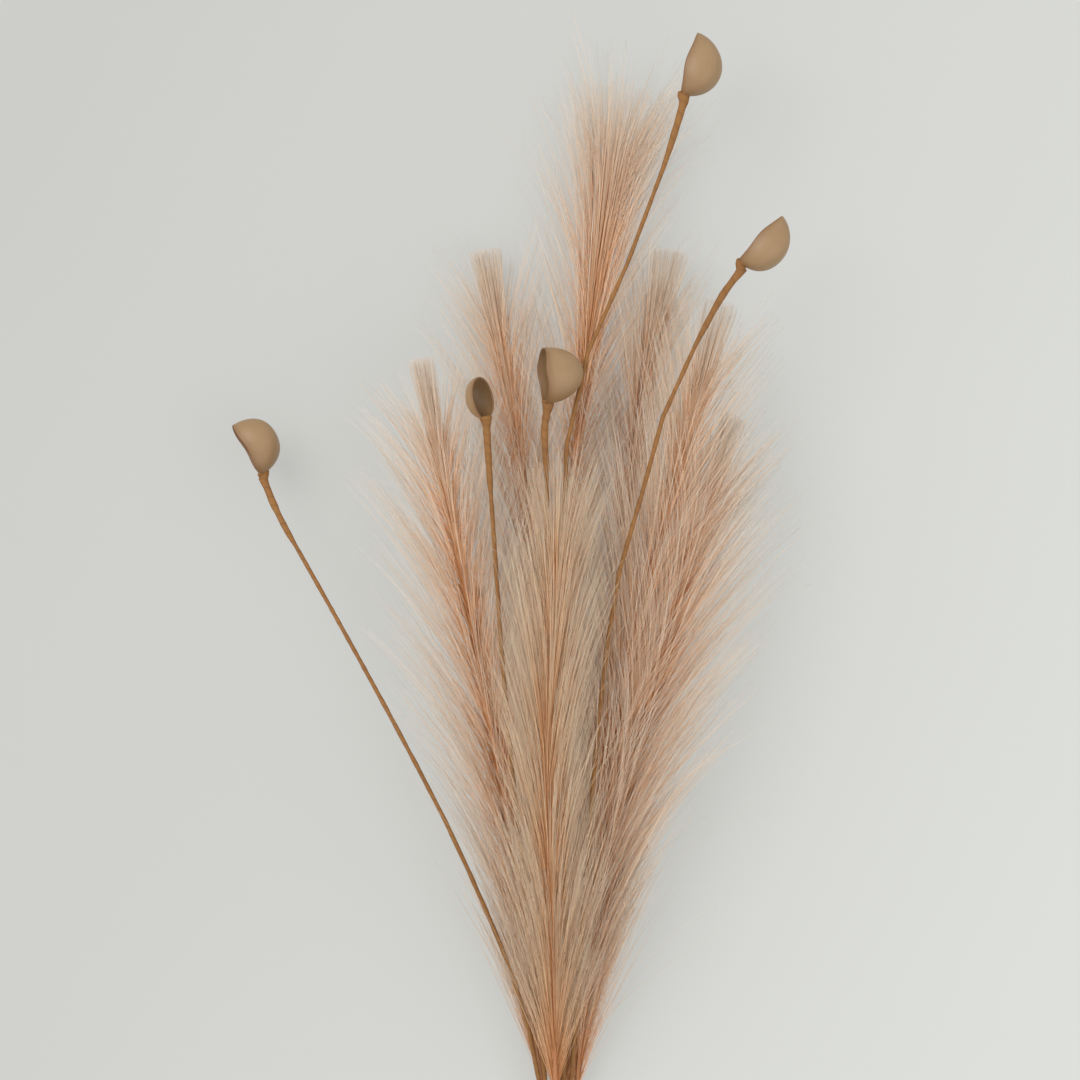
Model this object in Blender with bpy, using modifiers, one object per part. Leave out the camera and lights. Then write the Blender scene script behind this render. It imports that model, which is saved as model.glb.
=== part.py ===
import math

import bmesh
import bpy
import numpy as np
from mathutils import Matrix, Vector

# Bunch of seven dyed pampas plumes and five cup-pod sprays, tied with twine and
# lying on its back on a table.
# Drawing frame, in metres: x and y are 0 at the tie, y runs from the cut ends to the
# tips, and z is the height above the table. The last step moves the whole bunch so
# that its origin is the middle of its bounding box, at table height.

GAP = 0.0003              # clearance between touching pieces

# Stems and their packing at the tie
PLUME_STEM_RADIUS = 0.0021
PLUME_STEM_TIP = 0.55     # radius at the tip as a share of the radius at the tie
POD_STEM_RADIUS = 0.0015
POD_NECK_RADIUS = 0.0027  # paper tape thickened under a pod
POD_COLLAR_RADIUS = 0.0038
STEM_SPACING = 0.0046     # plume stem to plume stem at the tie
POD_SPACING = 0.0034      # pod stem to pod stem at the tie
CUT_END_Y = -0.205        # mean height of the cut ends below the tie
SPLAY = 1.9               # how much wider the stems stand at the cut ends than at the tie

# Twine
TWINE_RADIUS = 0.0012
TWINE_TURNS = 4
TWINE_POINTS_PER_TURN = 20
TWINE_EASE = 0.0005       # room between the twine and the stems, whose sides are flat
KNOT_SIZE = (0.0056, 0.0062, 0.0042)

# Rows of stems at the tie, from the table up
ROW_0_Z = 2 * TWINE_RADIUS + GAP + PLUME_STEM_RADIUS
ROW_1_Z = ROW_0_Z + STEM_SPACING
POD_ROW_Z = ROW_1_Z + PLUME_STEM_RADIUS + GAP + POD_STEM_RADIUS
ROW_2_Z = POD_ROW_Z + POD_STEM_RADIUS + GAP + PLUME_STEM_RADIUS

# Bodies of filaments: three layers of plumes, thin at the neck and thick in the head
FILAMENT_BASE_Y = 0.042
FILAMENT_STEP = 0.040     # one section of every body each 40 mm, shared by all of them
HEAD_FULL_Y = 0.34        # the bunch has its full thickness from here up
NECK_LAYERS = ((0.0, 0.0110), (0.0118, 0.0206), (0.0250, 0.0370))
HEAD_LAYERS = ((0.0, 0.0480), (0.0490, 0.0930), (0.0985, 0.1400))
POD_LEVELS = (0.0228, 0.0958)   # pod stems run between the second and third layers
RUN_STEP = 0.020          # stems follow their level this closely
REACH_START_Y = 0.020
REACH_LENGTH = 0.33
TIP_LENGTH = 0.10         # the top of a body narrows over this length
BRUSH_SHARE = 0.42        # width left at the very tip
STEM_STOPS_SHORT = 0.065  # a stem ends this far below the tip of its filaments
SECTION_SIDES = 12
SECTION_POWER = 2.6

# Pods
POD_WALL = 0.0009
POD_ROWS = 10
POD_COLUMNS = 10

COLOURS = {
    "plume_stem": ((0.47, 0.17, 0.066, 1), 0.65),
    "filaments": ((0.62, 0.36, 0.23, 1), 0.55),
    "pod_stem": ((0.32, 0.155, 0.050, 1), 0.8),
    "pod_shell": ((0.52, 0.36, 0.22, 1), 0.5),
    "twine": ((0.40, 0.27, 0.14, 1), 0.9),
}

# Each plume: layer, column in its row at the tie, how far its cut end is from the mean,
# sections above the first, sideways reach of the filaments to left and right, and the
# stem's run above the tie as (x, y).
PLUMES = {
    "left_plume": dict(
        layer=1, column=-1, cut=0.012, sections=13, reach=(0.056, 0.054),
        run=((-0.009, 0.042), (-0.014, 0.084), (-0.021, 0.148), (-0.036, 0.248),
             (-0.055, 0.351), (-0.070, 0.430), (-0.087, 0.515), (-0.100, 0.560))),
    "back_left_plume": dict(
        layer=0, column=-1, cut=-0.006, sections=15, reach=(0.052, 0.050),
        run=((-0.009, 0.042), (-0.012, 0.112), (-0.015, 0.287), (-0.021, 0.443),
             (-0.031, 0.527), (-0.039, 0.573), (-0.055, 0.640))),
    "tall_plume": dict(
        layer=0, column=0, cut=0.004, sections=18, reach=(0.050, 0.052),
        run=((0.0, 0.042), (0.001, 0.112), (0.004, 0.287), (0.0105, 0.455),
             (0.022, 0.573), (0.032, 0.660), (0.057, 0.765))),
    "back_right_plume": dict(
        layer=0, column=1, cut=-0.012, sections=15, reach=(0.050, 0.054),
        run=((0.009, 0.042), (0.015, 0.112), (0.031, 0.252), (0.044, 0.392),
             (0.054, 0.499), (0.065, 0.569), (0.096, 0.642))),
    "inner_right_plume": dict(
        layer=1, column=0, cut=0.008, sections=14, reach=(0.050, 0.052),
        run=((0.004, 0.042), (0.0105, 0.112), (0.027, 0.238), (0.041, 0.311),
             (0.057, 0.383), (0.080, 0.462), (0.099, 0.538), (0.124, 0.611))),
    "outer_right_plume": dict(
        layer=1, column=1, cut=-0.003, sections=12, reach=(0.050, 0.060),
        run=((0.014, 0.042), (0.0205, 0.112), (0.035, 0.205), (0.055, 0.279),
             (0.080, 0.372), (0.101, 0.449), (0.118, 0.489), (0.143, 0.527))),
    "front_plume": dict(
        layer=2, column=0, cut=0.010, sections=11, reach=(0.036, 0.038),
        run=((-0.001, 0.042), (-0.003, 0.147), (-0.007, 0.260), (-0.004, 0.340),
             (0.000, 0.410), (0.003, 0.485))),
}

# Each pod spray: place in the row of pod stems at the tie, cut end, the stem's run above
# the tie as (x, y, lift over the row's level), the pod's length, depth and the angle its
# section is rolled to, its long axis, and the way its opening faces.
PODS = {
    "left_pod": dict(
        column=-2, cut=0.006, length=0.040, depth=0.024, roll=118,
        axis=(-0.50, 0.86, 0.04), opening=(-0.78, -0.46, 0.10),
        run=((-0.0115, 0.042, 0.0), (-0.0225, 0.100, 0.0), (-0.039, 0.148, 0.0),
             (-0.078, 0.239, 0.0), (-0.0994, 0.281, -0.001), (-0.124, 0.325, -0.020),
             (-0.179, 0.421, -0.046), (-0.198, 0.454, -0.052), (-0.2086, 0.480, -0.055))),
    "small_pod": dict(
        column=-1, cut=-0.010, length=0.029, depth=0.016, roll=138,
        axis=(-0.20, 0.97, 0.12), opening=(0.30, 0.02, 0.95),
        run=((-0.0075, 0.042, 0.0), (-0.018, 0.147, 0.0), (-0.028, 0.244, 0.0),
             (-0.035, 0.316, 0.0), (-0.040, 0.377, 0.0), (-0.0434, 0.430, 0.001),
             (-0.047, 0.482, 0.005), (-0.049, 0.517, 0.011))),
    "centre_pod": dict(
        column=0, cut=0.013, length=0.038, depth=0.027, roll=112,
        axis=(-0.05, 0.99, 0.03), opening=(-0.97, 0.0, 0.16),
        run=((-0.001, 0.042, 0.0), (-0.004, 0.147, 0.0), (-0.006, 0.322, 0.0),
             (-0.007, 0.445, 0.001), (-0.007, 0.475, 0.003), (-0.009, 0.505, 0.005),
             (-0.0063, 0.528, 0.007))),
    "top_pod": dict(
        column=1, cut=-0.004, length=0.044, depth=0.023, roll=125,
        axis=(0.26, 0.96, 0.0), opening=(-0.95, 0.26, -0.14),
        run=((0.0050, 0.042, 0.0), (0.006, 0.147, 0.0), (0.005, 0.322, 0.0),
             (0.0049, 0.476, 0.0), (0.0175, 0.552, -0.004), (0.042, 0.609, -0.010),
             (0.0742, 0.694, -0.017), (0.0847, 0.727, -0.020), (0.0896, 0.744, -0.021))),
    "right_pod": dict(
        column=2, cut=0.002, length=0.043, depth=0.021, roll=122,
        axis=(0.68, 0.73, 0.05), opening=(-0.72, 0.67, -0.14),
        run=((0.0100, 0.042, 0.0), (0.0165, 0.147, 0.0), (0.030, 0.322, 0.0),
             (0.042, 0.408, 0.0), (0.0525, 0.443, 0.001), (0.066, 0.493, 0.002),
             (0.0768, 0.530, 0.004), (0.1015, 0.580, 0.006), (0.119, 0.611, 0.007),
             (0.1288, 0.623, 0.007))),
}


def makeCollection(name):
    collection = bpy.data.collections.new(name)
    bpy.context.scene.collection.children.link(collection)
    return collection


def makeMaterial(name):
    colour, roughness = COLOURS[name]
    material = bpy.data.materials.new(name)
    material.use_nodes = True
    shader = material.node_tree.nodes["Principled BSDF"]
    shader.inputs["Base Color"].default_value = colour
    shader.inputs["Roughness"].default_value = roughness
    shader.inputs["Metallic"].default_value = 0.0
    return material


def addObject(name, data, collection, material=None):
    item = bpy.data.objects.new(name, data)
    if material:
        data.materials.append(material)
    collection.objects.link(item)
    return item


def slopeAt(points, i, part):
    # Slope of x or z against y at a point, between its neighbours' slopes, without overshoot
    if i in (0, len(points) - 1):
        near = points[1] if i == 0 else points[-2]
        return (near[part] - points[i][part]) / (near.y - points[i].y)
    before = (points[i][part] - points[i - 1][part]) / (points[i].y - points[i - 1].y)
    after = (points[i + 1][part] - points[i][part]) / (points[i + 1].y - points[i].y)
    return 0 if before * after <= 0 else 2 * before * after / (before + after)


def smoothRun(points, y):
    # A smooth curve through the points, read at y
    i = int(np.searchsorted([p.y for p in points], y)) - 1
    i = min(max(i, 0), len(points) - 2)
    a, b = points[i], points[i + 1]
    span = b.y - a.y
    t = (y - a.y) / span
    place = Vector((0, y, 0))
    for part in (0, 2):
        place[part] = (a[part] * (2 * t ** 3 - 3 * t ** 2 + 1)
                       + slopeAt(points, i, part) * span * (t ** 3 - 2 * t ** 2 + t)
                       + b[part] * (3 * t ** 2 - 2 * t ** 3)
                       + slopeAt(points, i + 1, part) * span * (t ** 3 - t ** 2))
    return place


def fullness(y):
    # Share of the head's thickness reached at y
    t = (y - FILAMENT_BASE_Y) / (HEAD_FULL_Y - FILAMENT_BASE_Y)
    return math.sin(min(max(t, 0), 1) * math.pi / 2)


def layerSpan(layer, y):
    neck, head = NECK_LAYERS[layer], HEAD_LAYERS[layer]
    share = fullness(y)
    return [low + (high - low) * share for low, high in zip(neck, head)]


def belowTie(tieX, tieZ, cut):
    # The stems splay a little below the tie and settle towards the table
    endZ = PLUME_STEM_RADIUS + (tieZ - ROW_0_Z) * 1.15
    return [Vector((tieX * SPLAY, CUT_END_Y - cut, endZ)),
            Vector((tieX * 1.35, CUT_END_Y * 0.45, (endZ + tieZ) / 2)),
            Vector((tieX, -0.018, tieZ)), Vector((tieX, 0.009, tieZ))]


def onLevel(points, level):
    # A run above the tie: its points hold x, y and the lift over the level at that y
    count = round((points[-1].y - FILAMENT_BASE_Y) / RUN_STEP)
    run = []
    for y in np.linspace(FILAMENT_BASE_Y, points[-1].y, count + 1):
        place = smoothRun(points, y)
        run.append(Vector((place.x, y, level(y) + place.z)))
    return run


def plumeRun(plume):
    tie = Vector((plume["column"] * STEM_SPACING, 0, (ROW_0_Z, ROW_1_Z, ROW_2_Z)[plume["layer"]]))
    points = [Vector((x, y, 0)) for x, y in plume["run"]]
    above = onLevel(points, lambda y: sum(layerSpan(plume["layer"], y)) / 2)
    return belowTie(tie.x, tie.z, plume["cut"]) + above


def podRun(pod):
    low, high = POD_LEVELS
    points = [Vector(place) for place in pod["run"]]
    above = onLevel(points, lambda y: low + (high - low) * fullness(y))
    return belowTie(pod["column"] * POD_SPACING, POD_ROW_Z, pod["cut"]) + above


def sweep(name, places, radii, collection, material=None):
    # A round stem through the places, with its own radius at each of them
    curve = bpy.data.curves.new(name, "CURVE")
    curve.dimensions = "3D"
    curve.bevel_depth = 1.0
    curve.bevel_resolution = 2
    curve.use_fill_caps = True
    spline = curve.splines.new("POLY")
    spline.points.add(len(places) - 1)
    for point, place, radius in zip(spline.points, places, radii):
        point.co = (*place, 1)
        point.radius = radius
    return addObject(name, curve, collection, material)


def asMesh(curveObject):
    # The swept curve as one welded mesh, so that it can cut or be joined
    graph = bpy.context.evaluated_depsgraph_get()
    mesh = bpy.data.meshes.new_from_object(curveObject.evaluated_get(graph))
    bm = bmesh.new()
    bm.from_mesh(mesh)
    bmesh.ops.remove_doubles(bm, verts=bm.verts, dist=0.000001)
    bmesh.ops.recalc_face_normals(bm, faces=bm.faces)
    bm.to_mesh(mesh)
    bm.free()
    name, collection = curveObject.name, curveObject.users_collection[0]
    matrix = curveObject.matrix_world.copy()
    bpy.data.objects.remove(curveObject)
    item = addObject(name, mesh, collection)
    item.matrix_world = matrix
    return item


def plumeStemPlaces(plume):
    points = plumeRun(plume)
    top = FILAMENT_BASE_Y + plume["sections"] * FILAMENT_STEP - STEM_STOPS_SHORT
    low = list(np.linspace(points[0].y, 0.010, 7))
    high = list(np.linspace(0.042, top, 15))
    ys = low + high
    places = [smoothRun(points, y) for y in ys]
    radii = [PLUME_STEM_RADIUS * np.interp(y, (0, top), (1, PLUME_STEM_TIP)) for y in ys]
    return places, radii


def makePlumeStem(name, plume, collection, material):
    places, radii = plumeStemPlaces(plume)
    return sweep(name + "_stem", places, radii, collection, material)


def makeBore(name, plume, collection):
    # The room that a stem takes inside its filaments, open at the bottom only
    places, radii = plumeStemPlaces(plume)
    upwards = (places[-1] - places[-2]).normalized()
    places.append(places[-1] + upwards * GAP)
    radii.append(radii[-1])
    bore = asMesh(sweep(name + "_bore", places, [r + GAP for r in radii], collection))
    bore.hide_render = True
    bore.display_type = "WIRE"
    return bore


def sectionShape():
    # A rounded box section of unit half width, with one flat side at the bottom
    shape = []
    for k in range(SECTION_SIDES):
        angle = math.tau * (k + 0.5) / SECTION_SIDES
        c, s = math.cos(angle), math.sin(angle)
        length = (abs(c) ** SECTION_POWER + abs(s) ** SECTION_POWER) ** (-1 / SECTION_POWER)
        shape.append((c * length, s * length))
    scale = max(x for x, z in shape)
    return [(x / scale, z / scale) for x, z in shape]


def neighbourMiddle(name, y, side):
    # Halfway to the next plume of the same layer on that side, or nothing
    plume = PLUMES[name]
    here = smoothRun(plumeRun(plume), y).x
    nearest = None
    for other, data in PLUMES.items():
        top = data["run"][-1][1]
        if other == name or data["layer"] != plume["layer"] or y > top + FILAMENT_STEP:
            continue
        there = smoothRun(plumeRun(data), min(y, top)).x
        away = (there - here) * side
        if away > 0 and (nearest is None or away < nearest):
            nearest = away
    return None if nearest is None else nearest / 2 - GAP


def filamentSection(name, plume, index):
    y = FILAMENT_BASE_Y + index * FILAMENT_STEP
    centre = smoothRun(plumeRun(plume), min(y, plume["run"][-1][1]))
    low, high = layerSpan(plume["layer"], y)
    growth = math.sin(min((y - REACH_START_Y) / REACH_LENGTH, 1) * math.pi / 2)
    below = (plume["sections"] - index) * FILAMENT_STEP
    taper = BRUSH_SHARE + (1 - BRUSH_SHARE) * min(below / TIP_LENGTH, 1) ** 0.6
    limits = []
    for side, reach in zip((-1, 1), plume["reach"]):
        width = reach * growth * taper
        middle = neighbourMiddle(name, y, side)
        limits.append(centre.x + side * (width if middle is None else min(width, middle)))
    if index > plume["sections"] - 2:
        low, high = centre.z + (low - centre.z) * taper, centre.z + (high - centre.z) * taper
    midX, midZ = sum(limits) / 2, (low + high) / 2
    halfX, halfZ = (limits[1] - limits[0]) / 2, (high - low) / 2
    return [(midX + x * halfX, y, midZ + z * halfZ) for x, z in sectionShape()]


def makeFilaments(name, plume, bore, collection, material):
    bm = bmesh.new()
    rings = []
    for index in range(plume["sections"] + 1):
        rings.append([bm.verts.new(place) for place in filamentSection(name, plume, index)])
    for lower, upper in zip(rings, rings[1:]):
        for k in range(SECTION_SIDES):
            nextK = (k + 1) % SECTION_SIDES
            bm.faces.new((lower[k], lower[nextK], upper[nextK], upper[k]))
    bm.faces.new(rings[0])
    bm.faces.new(rings[-1])
    bmesh.ops.recalc_face_normals(bm, faces=bm.faces)
    mesh = bpy.data.meshes.new(name + "_filaments")
    bm.to_mesh(mesh)
    bm.free()
    item = addObject(name + "_filaments", mesh, collection, material)
    cut = item.modifiers.new("stem_bore", "BOOLEAN")
    cut.operation = "DIFFERENCE"
    cut.object = bore
    return item


def makePodStem(name, pod, collection, material):
    # Paper-wrapped wire: thin below, thick at the neck, flared to a collar under the pod
    points = podRun(pod)
    top = points[-1].y
    low = list(np.linspace(points[0].y, 0.010, 6))
    middle = list(np.linspace(0.050, top - 0.052, 11))
    neck = [top - 0.040, top - 0.030, top - 0.018, top - 0.007, top - 0.0025, top]
    ys = low + middle + neck
    profileY = (-0.052, -0.040, -0.007, -0.0025, 0)
    profileR = (POD_STEM_RADIUS, POD_NECK_RADIUS * 0.78, POD_NECK_RADIUS,
                POD_COLLAR_RADIUS * 0.9, POD_COLLAR_RADIUS)
    places = [smoothRun(points, y) for y in ys]
    radii = [np.interp(y - top, profileY, profileR) for y in ys]
    return sweep(name + "_stem", places, radii, collection, material), places[-1]


def podFrame(pod):
    axis = Vector(pod["axis"]).normalized()
    opening = Vector(pod["opening"])
    opening = (opening - axis * opening.dot(axis)).normalized()
    return axis, opening, axis.cross(opening)


def makePodShell(name, pod, seat, collection, material):
    # A dried cup: every section is an arc whose two rims lie in one straight plane
    axis, opening, across = podFrame(pod)
    roll = math.radians(pod["roll"])
    widest = pod["depth"] / (1 - math.cos(roll))
    base = seat + axis * (GAP + POD_WALL)
    bm = bmesh.new()
    bmesh.ops.create_grid(bm, x_segments=POD_COLUMNS, y_segments=POD_ROWS, size=1)
    for vert in bm.verts:
        along = 0.02 + 0.96 * (vert.co.y + 1) / 2
        along = 0.5 - 0.5 * math.cos(math.pi * along)
        shape = along ** 0.50 * (1 - along) ** 0.62 / (0.446 ** 0.50 * 0.554 ** 0.62)
        radius = widest * shape
        angle = vert.co.x * roll
        rise = radius * math.cos(roll) - radius * math.cos(angle)
        place = base + axis * (along * pod["length"]) + opening * (rise + 0.002)
        vert.co = place + across * (radius * math.sin(angle))
    bmesh.ops.recalc_face_normals(bm, faces=bm.faces)
    mesh = bpy.data.meshes.new(name + "_shell")
    bm.to_mesh(mesh)
    bm.free()
    item = addObject(name + "_shell", mesh, collection, material)
    wall = item.modifiers.new("wall", "SOLIDIFY")
    wall.thickness = POD_WALL
    wall.offset = 0
    return item


def tiedStems():
    # Centre and radius of every stem where the twine goes round
    stems = []
    for plume in PLUMES.values():
        place = smoothRun(plumeRun(plume), 0)
        stems.append((place, PLUME_STEM_RADIUS))
    for pod in PODS.values():
        stems.append((smoothRun(podRun(pod), 0), POD_STEM_RADIUS))
    return stems


def makeTie(parts, cutters, material):
    # The twine follows the outline of the packed stems, then ends in a knot on top
    stems = tiedStems()
    pitch = 2 * TWINE_RADIUS + GAP
    places = []
    for k in range(TWINE_TURNS * TWINE_POINTS_PER_TURN + 1):
        turn = k / TWINE_POINTS_PER_TURN
        angle = math.pi / 2 + math.tau * turn
        way = Vector((math.cos(angle), 0, math.sin(angle)))
        outer = max(stems, key=lambda stem: stem[0].dot(way) + stem[1])
        place = outer[0] + way * (outer[1] + TWINE_EASE + TWINE_RADIUS)
        place.y = (turn - TWINE_TURNS / 2) * pitch
        places.append(place)
    twine = asMesh(sweep("twine_tie", places, [TWINE_RADIUS] * len(places), parts))
    twine.data.materials.append(material)
    bm = bmesh.new()
    top = max(place.z for place in places)
    size = Matrix.Diagonal((*KNOT_SIZE, 1))
    bmesh.ops.create_uvsphere(bm, u_segments=12, v_segments=8, radius=1, matrix=size)
    mesh = bpy.data.meshes.new("knot")
    bm.to_mesh(mesh)
    bm.free()
    knot = addObject("knot", mesh, cutters)
    knot.location = (places[0].x, 0, top + KNOT_SIZE[2] * 0.72)
    knot.hide_render = True
    knot.display_type = "WIRE"
    join = twine.modifiers.new("knot", "BOOLEAN")
    join.operation = "UNION"
    join.object = knot
    return twine


def centreOnBox(parts, root):
    # Origin at the middle of the bounding box, on the table
    bpy.context.view_layer.update()
    graph = bpy.context.evaluated_depsgraph_get()
    corners = []
    for item in parts.objects:
        evaluated = item.evaluated_get(graph)
        mesh = evaluated.to_mesh()
        corners += [evaluated.matrix_world @ vert.co for vert in mesh.vertices]
        evaluated.to_mesh_clear()
    places = np.array(corners)
    low, high = places.min(axis=0), places.max(axis=0)
    root.location = (-(low[0] + high[0]) / 2, -(low[1] + high[1]) / 2, -low[2])


def build():
    for item in list(bpy.data.objects):
        bpy.data.objects.remove(item)
    parts = makeCollection("pampas_bunch")
    cutters = makeCollection("cutters")
    root = bpy.data.objects.new("bunch", None)
    bpy.context.scene.collection.objects.link(root)
    materials = {name: makeMaterial(name) for name in COLOURS}
    for name, plume in PLUMES.items():
        makePlumeStem(name, plume, parts, materials["plume_stem"])
        bore = makeBore(name, plume, cutters)
        makeFilaments(name, plume, bore, parts, materials["filaments"])
    for name, pod in PODS.items():
        stem, seat = makePodStem(name, pod, parts, materials["pod_stem"])
        makePodShell(name, pod, seat, parts, materials["pod_shell"])
    makeTie(parts, cutters, materials["twine"])
    centreOnBox(parts, root)
    for item in list(parts.objects) + list(cutters.objects):
        item.parent = root


build()
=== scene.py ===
import math
import bmesh
import bpy
import numpy as np
from mathutils import Matrix, Vector


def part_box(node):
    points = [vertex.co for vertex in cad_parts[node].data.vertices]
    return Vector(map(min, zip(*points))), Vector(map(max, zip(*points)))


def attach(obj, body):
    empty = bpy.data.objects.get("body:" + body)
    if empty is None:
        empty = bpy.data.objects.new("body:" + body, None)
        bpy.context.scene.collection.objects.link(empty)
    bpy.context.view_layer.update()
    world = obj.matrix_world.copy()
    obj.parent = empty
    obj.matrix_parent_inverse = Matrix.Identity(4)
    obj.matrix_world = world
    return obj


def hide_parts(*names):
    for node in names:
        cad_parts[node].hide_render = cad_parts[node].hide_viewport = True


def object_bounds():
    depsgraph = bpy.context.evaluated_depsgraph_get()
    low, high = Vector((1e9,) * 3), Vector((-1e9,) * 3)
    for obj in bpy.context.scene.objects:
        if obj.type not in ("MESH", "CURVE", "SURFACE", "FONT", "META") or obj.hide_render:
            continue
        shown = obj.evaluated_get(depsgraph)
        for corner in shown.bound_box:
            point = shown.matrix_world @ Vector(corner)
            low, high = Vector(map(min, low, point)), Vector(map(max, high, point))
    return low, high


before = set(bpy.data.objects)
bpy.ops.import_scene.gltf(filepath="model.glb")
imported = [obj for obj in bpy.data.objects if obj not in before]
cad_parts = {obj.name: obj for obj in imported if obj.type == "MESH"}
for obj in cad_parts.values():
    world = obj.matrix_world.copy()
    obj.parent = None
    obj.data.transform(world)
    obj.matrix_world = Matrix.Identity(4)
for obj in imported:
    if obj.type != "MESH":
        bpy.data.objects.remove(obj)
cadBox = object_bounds()
random = np.random.default_rng(11)
tieLow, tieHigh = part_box("twine_tie")
tie = (tieLow + tieHigh) / 2


class Wire:
    # A socket that can be added, multiplied and so on in plain expressions
    tree = None

    def __init__(self, socket):
        self.socket = socket

    @classmethod
    def node(cls, kind, settings=None, out=0, **inputs):
        made = cls.tree.nodes.new(kind)
        for key, value in (settings or {}).items():
            if key == "stops":
                while len(made.color_ramp.elements) < len(value):
                    made.color_ramp.elements.new(0.5)
                for stop, (place, colour) in zip(made.color_ramp.elements, value):
                    stop.position = place
                    stop.color = (*colour, 1)
            else:
                setattr(made, key, value)
        for key, value in inputs.items():
            number = key[1:] if key.startswith("i") and key[1:].isdigit() else None
            socket = made.inputs[int(number)] if number else made.inputs[key.replace("_", " ")]
            if isinstance(value, Wire):
                cls.tree.links.new(value.socket, socket)
            else:
                socket.default_value = value
        return cls(made.outputs[out])

    def math(self, operation, other=None, turn=False):
        first, second = (other, self) if turn else (self, other)
        values = {"i0": first} if second is None else {"i0": first, "i1": second}
        return Wire.node("ShaderNodeMath", {"operation": operation}, **values)

    def __add__(self, other):
        return self.math("ADD", other)

    def __sub__(self, other):
        return self.math("SUBTRACT", other)

    def __rsub__(self, other):
        return self.math("SUBTRACT", other, turn=True)

    def __mul__(self, other):
        return self.math("MULTIPLY", other)

    def __pow__(self, other):
        return self.math("POWER", other)

    __radd__ = __add__
    __rmul__ = __mul__

    def fraction(self):
        return self.math("FRACT")

    def floor(self):
        return self.math("FLOOR")

    def part(self, number):
        return Wire.node("ShaderNodeSeparateXYZ", Vector=self, out=number)


def newMaterial(name):
    material = bpy.data.materials.new(name)
    material.use_nodes = True
    Wire.tree = material.node_tree
    return material, material.node_tree.nodes["Principled BSDF"]


def feed(shader, **sockets):
    for key, value in sockets.items():
        socket = shader.inputs[key.replace("_", " ")]
        if isinstance(value, Wire):
            Wire.tree.links.new(value.socket, socket)
        else:
            socket.default_value = value


def uvPlace():
    return Wire.node("ShaderNodeUVMap", {"uv_map": "OFBake"})


def mixColour(factor, first, second, blend="MIX"):
    return Wire.node("ShaderNodeMix", {"data_type": "RGBA", "blend_type": blend}, out=2,
                     i0=factor, i6=first, i7=second)


def noiseAt(place, scale, detail=3.0, roughness=0.5):
    return Wire.node("ShaderNodeTexNoise", Vector=place, Scale=scale, Detail=detail,
                     Roughness=roughness)


def objectPlace(scale=(1, 1, 1)):
    place = Wire.node("ShaderNodeTexCoord", out=3)
    return Wire.node("ShaderNodeMapping", Vector=place, Scale=scale)


def bump(height, strength, distance):
    return Wire.node("ShaderNodeBump", Height=height, Strength=strength, Distance=distance)


silk = dict(
    columns=64,
    root=(0.84, 0.345, 0.118), low=(0.88, 0.465, 0.225), middle=(0.83, 0.585, 0.395),
    tip=(0.73, 0.645, 0.54), shadeSpread=0.38, roughness=0.33)


def makeSilk(name, tint):
    # v runs from root to tip, and every column of u is one shade of filament
    material, shader = newMaterial(name)
    place = uvPlace()
    column = (place.part(0) * silk["columns"]).floor()
    shade = Wire.node("ShaderNodeTexWhiteNoise", {"noise_dimensions": "1D"}, W=column)
    along = Wire.node("ShaderNodeValToRGB", {"stops": (
        (0.0, silk["root"]), (0.14, silk["low"]), (0.45, silk["middle"]), (1.0, silk["tip"]))},
        Fac=place.part(1))
    tinted = mixColour(1.0, along, (*tint, 1), "MULTIPLY")
    # each filament's lightness is partly its own random tone and partly a painted glint: the wide
    # spread paints pale highlights on some filaments
    light = shade * silk["shadeSpread"] + (1 - silk["shadeSpread"] * 0.6)
    toneAndGlintGrey = Wire.node("ShaderNodeCombineXYZ", X=light, Y=light, Z=light)
    feed(shader, Base_Color=mixColour(1.0, tinted, toneAndGlintGrey, "MULTIPLY"),
         Roughness=shade * 0.15 + silk["roughness"] - 0.05, Specular_IOR_Level=0.45)
    return material


bark = dict(dark=(0.30, 0.10, 0.035), light=(0.52, 0.24, 0.10), grain=500.0)


def makeBark(name):
    material, shader = newMaterial(name)
    grain = noiseAt(objectPlace((1, 0.12, 1)), bark["grain"], 4.0)
    colour = mixColour(grain, (*bark["dark"], 1), (*bark["light"], 1))
    feed(shader, Base_Color=colour, Roughness=0.55 + grain * 0.2, Normal=bump(grain, 0.4, 0.0004))
    return material


paper = dict(turns=110, dark=(0.13, 0.048, 0.010), light=(0.37, 0.172, 0.046))


def makePaperTape(name):
    # Brown paper tape wound round the wire: its map runs along the wire and round it
    material, shader = newMaterial(name)
    place = uvPlace()
    turn = (place.part(0) * paper["turns"] + place.part(1)).fraction()
    creases = noiseAt(objectPlace(), 900.0, 4.0, 0.6)
    patches = noiseAt(objectPlace(), 60.0, 3.0)
    edge = turn ** 6.0
    mixed = creases * 0.55 + patches * 0.55
    colour = mixColour(mixed, (*paper["dark"], 1), (*paper["light"], 1))
    colour = mixColour(edge * 0.5, colour, (*paper["dark"], 1))
    height = turn * 0.6 + creases * 0.5
    feed(shader, Base_Color=colour, Roughness=0.72 + creases * 0.2,
         Normal=bump(height, 0.6, 0.0005))
    return material


husk = dict(pale=(0.365, 0.235, 0.118), deep=(0.26, 0.153, 0.066), stain=(0.17, 0.070, 0.020))


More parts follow.
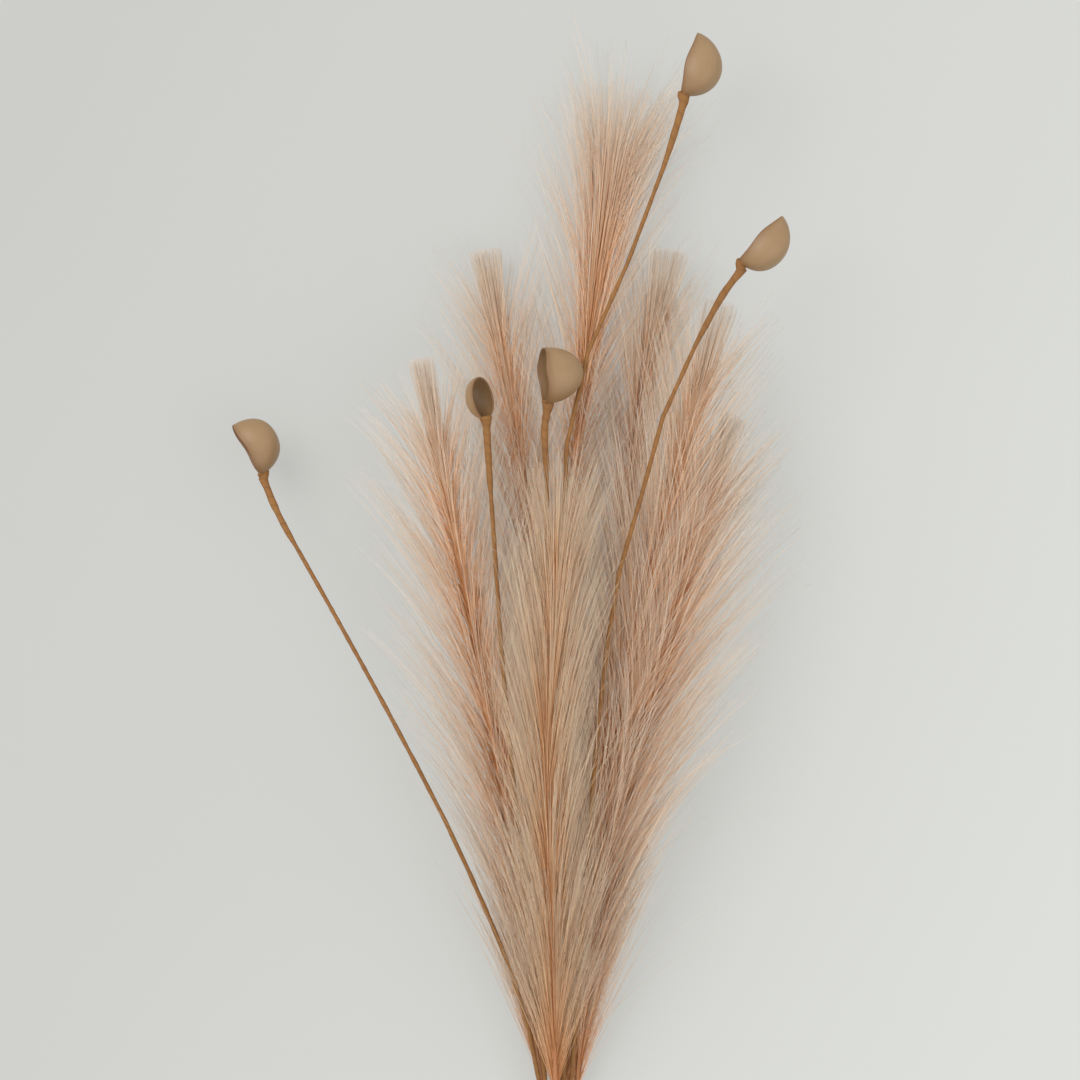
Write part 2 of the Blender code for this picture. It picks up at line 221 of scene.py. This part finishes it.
def makeHusk(name):
    # Dried pod: pale and smooth, darker at its base and its rims, with faint veins
    material, shader = newMaterial(name)
    place = uvPlace()
    veinPlace = Wire.node("ShaderNodeMapping", Vector=place, Scale=(14.0, 1.6, 1.0))
    veins = noiseAt(veinPlace, 3.0, 4.0, 0.55)
    blotches = noiseAt(objectPlace(), 70.0, 4.0, 0.6)
    edge = (place.part(0) - 0.5).math("ABSOLUTE") * 2
    rim = edge ** 10.0
    base = (1 - place.part(1)) ** 5.0
    colour = mixColour(blotches * 0.65 + veins * 0.35, (*husk["deep"], 1), (*husk["pale"], 1))
    colour = mixColour(base * 0.75, colour, (*husk["stain"], 1))
    colour = mixColour(rim * 0.8, colour, (*husk["stain"], 1))
    feed(shader, Base_Color=colour, Roughness=0.34 + blotches * 0.22,
         Normal=bump(veins * 0.7 + blotches * 0.5, 0.35, 0.0006))
    return material


jute = dict(dark=(0.22, 0.13, 0.055), light=(0.55, 0.40, 0.23), fibre=1400.0)


def makeJute(name):
    material, shader = newMaterial(name)
    fibre = noiseAt(objectPlace(), jute["fibre"], 3.0, 0.7)
    patches = noiseAt(objectPlace(), 220.0, 2.0)
    colour = mixColour(fibre * 0.6 + patches * 0.4, (*jute["dark"], 1), (*jute["light"], 1))
    feed(shader, Base_Color=colour, Roughness=0.85 + fibre * 0.1,
         Normal=bump(fibre, 0.5, 0.0003))
    return material


def stemLine(node, count):
    # Centre and radius of a stem, read at even steps of y
    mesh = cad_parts[node].data
    points = np.array([vert.co for vert in mesh.vertices])
    edges = np.array([edge.vertices for edge in mesh.edges])
    starts, ends = points[edges[:, 0]], points[edges[:, 1]]
    ease = 0.0012
    places, radii = [], []
    for y in np.linspace(points[:, 1].min() + ease, points[:, 1].max() - ease, count):
        hit = (starts[:, 1] - y) * (ends[:, 1] - y) < 0
        share = (y - starts[hit, 1]) / (ends[hit, 1] - starts[hit, 1])
        cut = starts[hit] + (ends[hit] - starts[hit]) * share[:, None]
        low, high = cut.min(axis=0), cut.max(axis=0)
        places.append((low + high) / 2)
        radii.append((high[2] - low[2]) / 2)
    return np.array(places), np.array(radii)


def finishPiece(name, mesh, material, node):
    item = bpy.data.objects.new(name, mesh)
    bpy.context.scene.collection.objects.link(item)
    mesh.materials.clear()
    mesh.materials.append(material)
    mesh.polygons.foreach_set("use_smooth", [True] * len(mesh.polygons))
    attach(item, "root")
    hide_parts(node)
    return item


def rodMesh(name, places, radii, resolution=3):
    # A round rod through the places; its map runs along it and around it
    curve = bpy.data.curves.new(name, "CURVE")
    curve.dimensions = "3D"
    curve.bevel_depth = 1.0
    curve.bevel_resolution = resolution
    curve.use_fill_caps = True
    spline = curve.splines.new("POLY")
    spline.points.add(len(places) - 1)
    for point, place, radius in zip(spline.points, places, radii):
        point.co = (*place, 1)
        point.radius = radius
    holder = bpy.data.objects.new(name, curve)
    bpy.context.scene.collection.objects.link(holder)
    graph = bpy.context.evaluated_depsgraph_get()
    mesh = bpy.data.meshes.new_from_object(holder.evaluated_get(graph))
    bpy.data.objects.remove(holder)
    bm = bmesh.new()
    bm.from_mesh(mesh)
    bmesh.ops.remove_doubles(bm, verts=bm.verts, dist=0.000002)
    bmesh.ops.recalc_face_normals(bm, faces=bm.faces)
    if not bm.loops.layers.uv:
        bm.loops.layers.uv.new("OFBake")
    bm.to_mesh(mesh)
    bm.free()
    mesh.uv_layers[0].name = "OFBake"
    return mesh


strand = dict(sides=3, cuts=5, rootRadius=0.00017, tipRadius=0.00007)


def strandShape():
    # One filament as a thin closed cone along z, cut across so that it can bend
    bm = bmesh.new()
    bmesh.ops.create_cone(bm, cap_ends=True, cap_tris=False, segments=strand["sides"],
                          radius1=1, radius2=1, depth=1,
                          matrix=Matrix.Translation((0, 0, 0.5)))
    for k in range(1, strand["cuts"]):
        bmesh.ops.bisect_plane(bm, geom=bm.verts[:] + bm.edges[:] + bm.faces[:],
                               plane_co=(0, 0, k / strand["cuts"]), plane_no=(0, 0, 1))
    bmesh.ops.recalc_face_normals(bm, faces=bm.faces)
    verts = np.array([vert.co for vert in bm.verts])
    faces = [[vert.index for vert in face.verts] for face in bm.faces]
    bm.free()
    return verts, faces


def strandsMesh(name, stations, radii, shades, depth):
    # Copies the strand shape along every path: stations is (strands, steps, 3)
    verts, faces = strandShape()
    count, steps = stations.shape[0], stations.shape[1]
    heading = stations[:, -1] - stations[:, 0]
    heading /= np.linalg.norm(heading, axis=1)[:, None]
    sideA = np.cross(heading, (0.0, 0.0, 1.0))
    sideA /= np.linalg.norm(sideA, axis=1)[:, None]
    sideB = np.cross(heading, sideA)
    level = verts[:, 2] * (steps - 1)
    lower = np.clip(np.floor(level + 0.001).astype(int), 0, steps - 2)
    share = (level - lower)[None, :, None]
    centre = stations[:, lower] * (1 - share) + stations[:, lower + 1] * share
    taper = (1 + (strand["tipRadius"] / strand["rootRadius"] - 1) * verts[:, 2])[None, :, None]
    wide = radii[:, None, None] * taper
    places = centre + wide * (verts[None, :, 0, None] * sideA[:, None]
                              + verts[None, :, 1, None] * sideB[:, None])
    loops = np.concatenate([np.array(face) for face in faces])
    sizes = np.array([len(face) for face in faces])
    starts = np.concatenate([[0], np.cumsum(sizes)[:-1]])
    mesh = bpy.data.meshes.new(name)
    mesh.vertices.add(count * len(verts))
    mesh.vertices.foreach_set("co", places.reshape(-1))
    mesh.loops.add(count * len(loops))
    offsets = np.arange(count)[:, None] * len(verts)
    mesh.loops.foreach_set("vertex_index", (loops[None] + offsets).reshape(-1))
    mesh.polygons.add(count * len(faces))
    loopOffsets = np.arange(count)[:, None] * len(loops)
    mesh.polygons.foreach_set("loop_start", (starts[None] + loopOffsets).reshape(-1))
    mesh.polygons.foreach_set("loop_total", np.tile(sizes, count))
    uvLayer = mesh.uv_layers.new(name="OFBake")
    across = (np.arctan2(verts[loops, 1], verts[loops, 0]) / math.tau + 0.5) * 0.6 + 0.2
    uValues = (shades[:, None] + across[None]) / silk["columns"]
    vValues = depth[:, None] * (verts[loops, 2] * 0.98 + 0.01)[None]
    uvLayer.data.foreach_set("uv", np.stack([uValues, vValues], axis=2).reshape(-1))
    mesh.update(calc_edges=True)
    mesh.validate()
    return mesh


def readLine(places, share):
    # Place and direction at shares of a line's length
    lengths = np.concatenate([[0], np.cumsum(np.linalg.norm(np.diff(places, axis=0), axis=1))])
    at = share * lengths[-1]
    spots = np.stack([np.interp(at, lengths, places[:, k]) for k in range(3)], axis=1)
    slopes = np.gradient(places, lengths, axis=0)
    ways = np.stack([np.interp(at, lengths, slopes[:, k]) for k in range(3)], axis=1)
    return spots, ways / np.linalg.norm(ways, axis=1)[:, None], lengths[-1]


def layOnTable(places, softness=0.006):
    # Filaments that would pass through the table bend and lie along it instead
    z = places[..., 2]
    lifted = 0.0004 + softness * np.exp((z - softness) / softness)
    places[..., 2] = np.where(z < softness, np.minimum(lifted, softness + 0.0004), z + 0.0004)
    return places


plumes = {
    "left_plume": dict(locks=500, brush=230, spread=0.010, ragged=0.006, lean=24, top=0.080,
                       tint=(1.0, 0.985, 0.97)),
    "back_left_plume": dict(locks=450, brush=300, spread=0.012, ragged=0.007, lean=22, top=0.082,
                            tint=(1.0, 0.97, 0.94)),
    "tall_plume": dict(locks=430, brush=560, spread=0.046, ragged=0.030, lean=24, top=0.108,
                       tint=(1.0, 1.0, 1.0)),
    "back_right_plume": dict(locks=480, brush=260, spread=0.015, ragged=0.008, lean=21, top=0.084,
                             tint=(1.0, 0.98, 0.95)),
    "inner_right_plume": dict(locks=480, brush=220, spread=0.013, ragged=0.008, lean=22, top=0.084,
                              tint=(1.0, 0.98, 0.95)),
    "outer_right_plume": dict(locks=520, brush=230, spread=0.010, ragged=0.006, lean=25, top=0.080,
                              tint=(1.0, 0.97, 0.94)),
    "front_plume": dict(locks=480, brush=0, lean=13, top=0.085, tint=(0.90, 0.83, 0.72)),
}
growth = dict(
    stations=220, perLock=5, spin=2.39996,                  # locks wind round the stem like leaves
    length=0.140, shortest=0.50, lengthRange=0.60, baseLean=13,
    fullBy=0.45, thinsFrom=0.72, thinsOver=0.28,            # shares of the stem's length
    upright=0.60, sideways=0.42, droop=0.03, clump=0.26, strays=0.05, strayLean=12,
    ceiling=0.136, overhang=0.007, rootGap=0.0012)
jitter = dict(lockTurn=0.35, lockLean=3.0, root=0.006, turn=0.26, lean=2.6, length=0.06, radius=0.12)
brush = dict(depth=0.85, along=0.30, looseFrom=0.85, looseWidth=0.7, looseShort=0.025)
sheath = dict(count=800, lean=2, leanJitter=1.2, length=0.045, lengthRange=0.02,
              depth=0.16, paler=0.7, palerFrom=0.6, palerOver=0.3)


def easeUnder(values, limit, ease=0.012):
    # What would pass the limit levels off a little beyond it
    past = np.maximum(values - limit, 0)
    return np.minimum(values, limit) + ease * np.tanh(past / ease)


def planLocks(s):
    # Where each lock leaves the stem, its turn round it, its lean and its length
    locks = s["locks"]
    share = (np.arange(locks) + random.random(locks)) / locks
    turn = np.arange(locks) * growth["spin"] + random.normal(0, jitter["lockTurn"], locks)
    rise = np.clip(share / growth["fullBy"], 0, 1)
    rise = rise * rise * (3 - 2 * rise)
    lean = growth["baseLean"] + (s["lean"] - growth["baseLean"]) * rise
    lean += random.normal(0, jitter["lockLean"], locks)
    late = np.clip((share - growth["thinsFrom"]) / growth["thinsOver"], 0, 1)
    length = growth["length"] * (1 - late) + s["top"] * late
    length *= growth["shortest"] + growth["lengthRange"] * random.random(locks)
    # lying down, more filaments spread sideways than stand up or point down
    turn -= growth["sideways"] * np.sin(2 * turn)
    return share, turn, lean, length


def lockPaths(line, s):
    # Several filaments share a lock and are drawn towards its middle; strays are not
    plan = planLocks(s)
    owner = np.repeat(np.arange(s["locks"]), growth["perLock"])
    total = len(owner)
    lockShare, lockTurn, lockLean, lockLength = [values[owner] for values in plan]
    share = np.clip(lockShare + random.normal(0, jitter["root"], total), 0, 1)
    turn = lockTurn + random.normal(0, jitter["turn"], total)
    lean = lockLean + random.normal(0, jitter["lean"], total)
    length = lockLength * (1 + random.normal(0, jitter["length"], total))
    stray = random.random(total) < growth["strays"]
    lean = np.where(stray, lean + random.normal(0, growth["strayLean"], total), lean)
    spots = strandPaths(line, share, turn, lean, length)
    middles = strandPaths(line, *plan)[owner]
    pull = growth["clump"] * np.linspace(0, 1, spots.shape[1])[None, :, None] ** 1.5
    pull = np.where(stray[:, None, None], 0, pull)
    return spots * (1 - pull) + middles * pull


def sheathPaths(line):
    # Short filaments that hug the stem give it its rust-coloured line
    count = sheath["count"]
    along = random.random(count)
    turn = random.random(count) * math.tau
    lean = sheath["lean"] + random.normal(0, sheath["leanJitter"], count)
    length = sheath["length"] + sheath["lengthRange"] * random.random(count)
    late = np.clip((along - sheath["palerFrom"]) / sheath["palerOver"], 0, 1)
    return strandPaths(line, along, turn, lean, length), sheath["depth"] + sheath["paler"] * late


def growPlume(name, s):
    line = stemLine(name + "_stem", growth["stations"])[0]
    bodyLow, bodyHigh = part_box(name + "_filaments")
    line = line[line[:, 1] >= bodyLow.y]
    groups = [lockPaths(line, s)]
    depths = [np.ones(len(groups[0]))]
    if s["brush"]:
        groups.append(brushPaths(line, bodyHigh.y, s, groups[0].shape[1]))
        depths.append(np.full(s["brush"], brush["depth"]))
    hugging, hugDepth = sheathPaths(line)
    spots = layOnTable(np.concatenate([*groups, hugging]))
    depth = np.concatenate([*depths, hugDepth])
    spots[..., 2] = easeUnder(spots[..., 2], growth["ceiling"])
    spots[..., 0] = easeUnder(spots[..., 0], cadBox[1][0] + growth["overhang"])
    spots[..., 0] = -easeUnder(-spots[..., 0], growth["overhang"] - cadBox[0][0])
    count = len(spots)
    shades = random.integers(0, silk["columns"], count).astype(float)
    radii = strand["rootRadius"] * (1 + random.normal(0, jitter["radius"], count))
    mesh = strandsMesh(name + "_strands", spots, radii, shades, depth)
    material = makeSilk(name + "_silk", s["tint"])
    finishPiece(name + "_strands", mesh, material, name + "_filaments")


def strandPaths(line, share, turn, lean, length):
    roots, ways, total = readLine(line, share)
    side = np.cross(ways, (0.0, 0.0, 1.0))
    side /= np.linalg.norm(side, axis=1)[:, None]
    up = np.cross(side, ways)
    out = side * np.cos(turn)[:, None] + up * (np.sin(turn) * growth["upright"])[:, None]
    angle = np.radians(lean)
    t = np.linspace(0, 1, strand["cuts"] + 1)
    # each filament leaves the stem close to it and bends outwards a little
    bend = angle[:, None] * (0.88 + 0.16 * t[None])
    forward = t[None] * np.cos(bend)
    outward = t[None] * np.sin(bend)
    places = roots[:, None] + out[:, None] * growth["rootGap"]
    places = places + ways[:, None] * (forward * length[:, None])[..., None]
    places = places + out[:, None] * (outward * length[:, None])[..., None]
    places[..., 2] -= growth["droop"] * length[:, None] * t[None] ** 2
    return places


def brushPaths(line, topY, s, steps):
    # The uppermost filaments run on together past the stem, open out and are cut off
    count = s["brush"]
    share = 1 - brush["along"] * random.random(count) ** 1.2
    roots = readLine(line, share)[0]
    end, way, total = readLine(line, np.array([1.0]))
    reach = (topY - end[0, 1]) / way[0, 1]
    side = np.cross(way[0], (0.0, 0.0, 1.0))
    side /= np.linalg.norm(side)
    up = np.cross(side, way[0]) * growth["upright"]
    turn = random.random(count) * math.tau
    loose = random.random(count) > brush["looseFrom"]
    wide = s["spread"] * np.sqrt(random.random(count)) * (1 + brush["looseWidth"] * loose)
    disc = side * np.cos(turn)[:, None] + up * np.sin(turn)[:, None]
    short = -s["ragged"] * np.abs(random.normal(0, 0.6, count))
    short -= brush["looseShort"] * loose * random.random(count)
    tips = end + way * (reach + short)[:, None] + disc * wide[:, None]
    t = np.linspace(0, 1, steps)[None, :, None]
    middle = end + way * reach * 0.15 + disc * (wide * 0.45 + 0.0008)[:, None]
    start = roots + disc * 0.0015
    return start[:, None] * (1 - t) ** 2 + 2 * middle[:, None] * t * (1 - t) + tips[:, None] * t ** 2


rod = dict(stations=90, wave=0.05, wavePitch=1.7, unevenness=0.02)


def makePlumeStems():
    material = makeBark("coated_wire")
    count = rod["stations"]
    for name in plumes:
        places, radii = stemLine(name + "_stem", count)
        wave = rod["wave"] * np.sin(np.arange(count) * rod["wavePitch"])
        radii = radii * (1 + wave + random.normal(0, rod["unevenness"], count))
        mesh = rodMesh(name + "_rod", places, radii)
        finishPiece(name + "_rod", mesh, material, name + "_stem")


pods = {
    "left_pod": dict(length=0.040, depth=0.024, roll=118, foot=0.46, tip=0.42,
                     axis=(-0.50, 0.86, 0.04), opening=(-0.78, -0.46, 0.10)),
    "small_pod": dict(length=0.029, depth=0.016, roll=138, foot=0.50, tip=0.50,
                      axis=(-0.20, 0.97, 0.12), opening=(0.30, 0.02, 0.95)),
    "centre_pod": dict(length=0.038, depth=0.027, roll=112, foot=0.46, tip=0.42,
                       axis=(-0.05, 0.99, 0.03), opening=(-0.97, 0.0, 0.16)),
    "top_pod": dict(length=0.044, depth=0.023, roll=125, foot=0.48, tip=0.56,
                    axis=(0.26, 0.96, 0.0), opening=(-0.95, 0.26, -0.14)),
    "right_pod": dict(length=0.043, depth=0.021, roll=122, foot=0.48, tip=0.58,
                      axis=(0.68, 0.73, 0.05), opening=(-0.72, 0.67, -0.14)),
}
cup = dict(wall=0.0009, rows=56, columns=40, seatGap=0.0012, lift=0.002, dent=0.018, ripple=0.012,
           lipFrom=0.9, lipOver=0.1, lipGrowth=0.10, rimWave=0.0006)


def makePodShell(name, s, seat, material):
    axis = Vector(s["axis"]).normalized()
    opening = Vector(s["opening"])
    opening = (opening - axis * opening.dot(axis)).normalized()
    across = axis.cross(opening)
    roll = math.radians(s["roll"])
    widest = s["depth"] / (1 - math.cos(roll))
    base = Vector(seat) + axis * cup["seatGap"]
    wave = random.random(4) * math.tau
    foot, tip = s["foot"], s["tip"]
    fullest = foot / (foot + tip)
    bm = bmesh.new()
    uvLayer = bm.loops.layers.uv.new("OFBake")
    bmesh.ops.create_grid(bm, x_segments=cup["columns"], y_segments=cup["rows"], size=1)
    for face in bm.faces:
        for loop in face.loops:
            loop[uvLayer].uv = (loop.vert.co.x * 0.5 + 0.5, loop.vert.co.y * 0.5 + 0.5)
    for vert in bm.verts:
        x, y = vert.co.x, vert.co.y
        along = 0.5 - 0.5 * math.cos(math.pi * (0.02 + 0.96 * (y + 1) / 2))
        shape = (along / fullest) ** foot * ((1 - along) / (1 - fullest)) ** tip
        radius = widest * shape
        # shallow dents and a ripple give the dried wall its unevenness
        radius *= 1 + cup["dent"] * math.sin(5 * x + wave[0]) * math.sin(7 * along + wave[1])
        radius *= 1 + cup["ripple"] * math.sin(11 * x + wave[2] + 4 * along)
        lip = 1 + cup["lipGrowth"] * max(0, abs(x) - cup["lipFrom"]) / cup["lipOver"]
        angle = x * roll
        rise = radius * math.cos(roll) - radius * math.cos(angle) * lip
        rise += cup["rimWave"] * math.sin(9 * along + wave[3]) * abs(x) ** 3
        place = base + axis * (along * s["length"]) + opening * (rise + cup["lift"])
        vert.co = place + across * (radius * lip * math.sin(angle))
    bmesh.ops.recalc_face_normals(bm, faces=bm.faces)
    mesh = bpy.data.meshes.new(name + "_husk")
    bm.to_mesh(mesh)
    bm.free()
    item = finishPiece(name + "_husk", mesh, material, name + "_shell")
    wall = item.modifiers.new("wall", "SOLIDIFY")
    wall.thickness = cup["wall"]
    wall.offset = 0
    soft = item.modifiers.new("soft", "SUBSURF")
    soft.levels = soft.render_levels = 1


wrap = dict(stations=240, wave=0.05, wavePitch=0.9, unevenness=0.045)
flare = ((0.0008, 0.0041), (0.0018, 0.0045), (0.0028, 0.0043), (0.0034, 0.0034))    # step, radius


def makePods():
    tape = makePaperTape("paper_tape")
    shell = makeHusk("pod_husk")
    count = wrap["stations"] + len(flare)
    for name, s in pods.items():
        places, radii = stemLine(name + "_stem", wrap["stations"])
        seat = places[-1]
        wave = wrap["wave"] * np.sin(np.arange(count) * wrap["wavePitch"])
        lumps = 1 + wave + random.normal(0, wrap["unevenness"], count)
        # the tape flares over the foot of the pod
        axis = np.array(Vector(s["axis"]).normalized())
        places = np.concatenate([places, [seat + axis * step for step, radius in flare]])
        radii = np.concatenate([radii, [radius for step, radius in flare]])
        mesh = rodMesh(name + "_wrap", places, radii * lumps, 4)
        finishPiece(name + "_wrap", mesh, tape, name + "_stem")
        makePodShell(name, s, seat, shell)


twine = dict(radius=0.0012, ease=0.0005, turns=4, pointsPerTurn=64, plies=3, plyTurn=0.0075,
             turnGap=0.0003, knotPoints=60)
knotRoute = (
    (-0.0030, -0.0020, 0.0000), (-0.0048, 0.0012, 0.0022), (-0.0010, 0.0036, 0.0042),
    (0.0034, 0.0012, 0.0036), (0.0028, -0.0030, 0.0018), (-0.0012, -0.0034, 0.0036),
    (-0.0026, 0.0004, 0.0052), (0.0030, 0.0022, 0.0046), (0.0075, -0.0010, 0.0022),
    (0.0115, -0.0070, -0.0020), (0.0145, -0.0135, -0.0070))


def twineRoute():
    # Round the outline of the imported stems, as the carried-over tie goes
    rods = []
    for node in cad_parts:
        if node.endswith("_stem"):
            places, radii = stemLine(node, 160)
            spot = np.array([np.interp(tie.y, places[:, 1], places[:, k]) for k in range(3)])
            rods.append((spot, float(np.interp(tie.y, places[:, 1], radii))))
    count = twine["turns"] * twine["pointsPerTurn"]
    route = []
    for k in range(count + 1):
        turn = k / twine["pointsPerTurn"]
        angle = math.pi / 2 + math.tau * turn
        way = np.array((math.cos(angle), 0, math.sin(angle)))
        spot, radius = max(rods, key=lambda rod: rod[0] @ way + rod[1])
        place = spot + way * (radius + twine["ease"] + twine["radius"])
        place[1] = tie.y + (turn - twine["turns"] / 2) * (2 * twine["radius"] + twine["turnGap"])
        route.append(place)
    return np.array(route)


def smoothLine(points, count, rounds):
    spots = readLine(np.array(points), np.linspace(0, 1, count))[0]
    for _ in range(rounds):
        spots[1:-1] = (spots[:-2] + 2 * spots[1:-1] + spots[2:]) / 4
    return spots


def plyMeshes(name, line):
    # Three plies laid round each other along the line
    spots, ways, total = readLine(line, np.linspace(0, 1, len(line)))
    side = np.cross(ways, (0.0, 1.0, 0.0001))
    side /= np.linalg.norm(side, axis=1)[:, None]
    up = np.cross(side, ways)
    meshes = []
    for ply in range(twine["plies"]):
        angle = np.linspace(0, 1, len(line)) * total / twine["plyTurn"] * math.tau
        angle = angle + ply * math.tau / twine["plies"]
        offset = side * np.cos(angle)[:, None] + up * np.sin(angle)[:, None]
        places = spots + offset * twine["radius"] * 0.5
        radii = np.full(len(line), twine["radius"] * 0.56)
        radii[0] = radii[-1] = twine["radius"] * 0.3
        meshes.append(rodMesh(name, places, radii, 1))
    return meshes


def makeTwine():
    route = twineRoute()
    top = Vector(route[0]) + Vector((0, 0, twine["radius"]))
    middle = Vector((top.x, tie.y, top.z))
    runs = [smoothLine(route, len(route), 2)]
    # the knot: two crossed loops with a short tail each
    for side in (-1, 1):
        loop = [tuple(middle + Vector((side * x, y, z))) for x, y, z in knotRoute]
        runs.append(smoothLine(loop, twine["knotPoints"], 3))
    bm = bmesh.new()
    for run in runs:
        for mesh in plyMeshes("ply", run):
            bm.from_mesh(mesh)
            bpy.data.meshes.remove(mesh)
    mesh = bpy.data.meshes.new("twine_plies")
    bm.to_mesh(mesh)
    bm.free()
    finishPiece("twine_plies", mesh, makeJute("jute"), "twine_tie")


stage = dict(
    reach=2.6, width=0.756, middle=0.07, aimX=-0.0119, aimY=0.434, paleShare=0.5,
    shade=(0.455, 0.455, 0.435), lit=(0.60, 0.61, 0.585),
    paleShade=(0.585, 0.580, 0.555), paleLit=(0.735, 0.745, 0.710))


def makeStage():
    floor = bmesh.new()
    bmesh.ops.create_grid(floor, x_segments=1, y_segments=1, size=6)
    mesh = bpy.data.meshes.new("floor")
    floor.to_mesh(mesh)
    floor.free()
    item = bpy.data.objects.new("floor", mesh)
    bpy.context.scene.collection.objects.link(item)
    material, shader = newMaterial("pale_floor")
    place = objectPlace()
    blend = place.part(0) * 0.9 - place.part(1) * 0.45 + 0.5
    blend = blend.math("MINIMUM", 1.0).math("MAXIMUM", 0.0)
    grain = noiseAt(place, 3.0)
    share = blend * 0.9 + grain * 0.1
    colour = mixColour(share, (*stage["shade"], 1), (*stage["lit"], 1))
    feed(shader, Base_Color=colour, Roughness=0.9)
    # seen directly, the floor is paler than the light on it alone would make it
    pale = mixColour(share, (*stage["paleShade"], 1), (*stage["paleLit"], 1))
    glow = Wire.node("ShaderNodeEmission", Color=pale, Strength=1.0)
    path = Wire.node("ShaderNodeLightPath")
    seen = path + Wire(path.socket.node.outputs[3]) + Wire(path.socket.node.outputs[6])
    seen = seen.math("MINIMUM", 1.0) * stage["paleShare"]
    surface = Wire(shader.outputs[0])
    both = Wire.node("ShaderNodeMixShader", i0=seen, i1=surface, i2=glow)
    output = material.node_tree.nodes["Material Output"]
    material.node_tree.links.new(both.socket, output.inputs["Surface"])
    mesh.materials.append(material)


def makeLamp(name, place, target, size, power):
    light = bpy.data.lights.new(name, "AREA")
    light.shape = "SQUARE"
    light.size = size
    light.energy = power
    item = bpy.data.objects.new(name, light)
    bpy.context.scene.collection.objects.link(item)
    item.location = place
    item.rotation_euler = (Vector(target) - Vector(place)).to_track_quat("-Z", "Y").to_euler()


lights = dict(
    sky=(0.98, 0.99, 1.0), skyStrength=0.96,
    window=dict(place=(-1.3, 1.1, 2.4), target=(0, 0.05, 0.05), size=1.8, power=32),
    fill=dict(place=(1.6, -0.8, 2.2), target=(0, 0, 0.05), size=2.0, power=10))


def makeLight():
    world = bpy.data.worlds.new("room")
    bpy.context.scene.world = world
    world.use_nodes = True
    background = world.node_tree.nodes["Background"]
    background.inputs[0].default_value = (*lights["sky"], 1)
    background.inputs[1].default_value = lights["skyStrength"]
    makeLamp("window", **lights["window"])
    makeLamp("fill", **lights["fill"])


def makeCamera():
    lens = bpy.data.cameras.new("camera")
    camera = bpy.data.objects.new("camera", lens)
    bpy.context.scene.collection.objects.link(camera)
    lens.sensor_width = 36
    distance = stage["reach"] - stage["middle"]
    lens.lens = 36 * distance / stage["width"]
    camera.location = (tie.x + stage["aimX"], tie.y + stage["aimY"], stage["reach"])
    bpy.context.scene.camera = camera


makeCamera()
makeLight()
makeStage()
print("stage ready")
for plumeName, plumeSettings in plumes.items():
    growPlume(plumeName, plumeSettings)
    print("grown", plumeName)
makePlumeStems()
makePods()
makeTwine()
print("stems, pods and tie ready")
bpy.context.scene.view_settings.view_transform = "Standard"
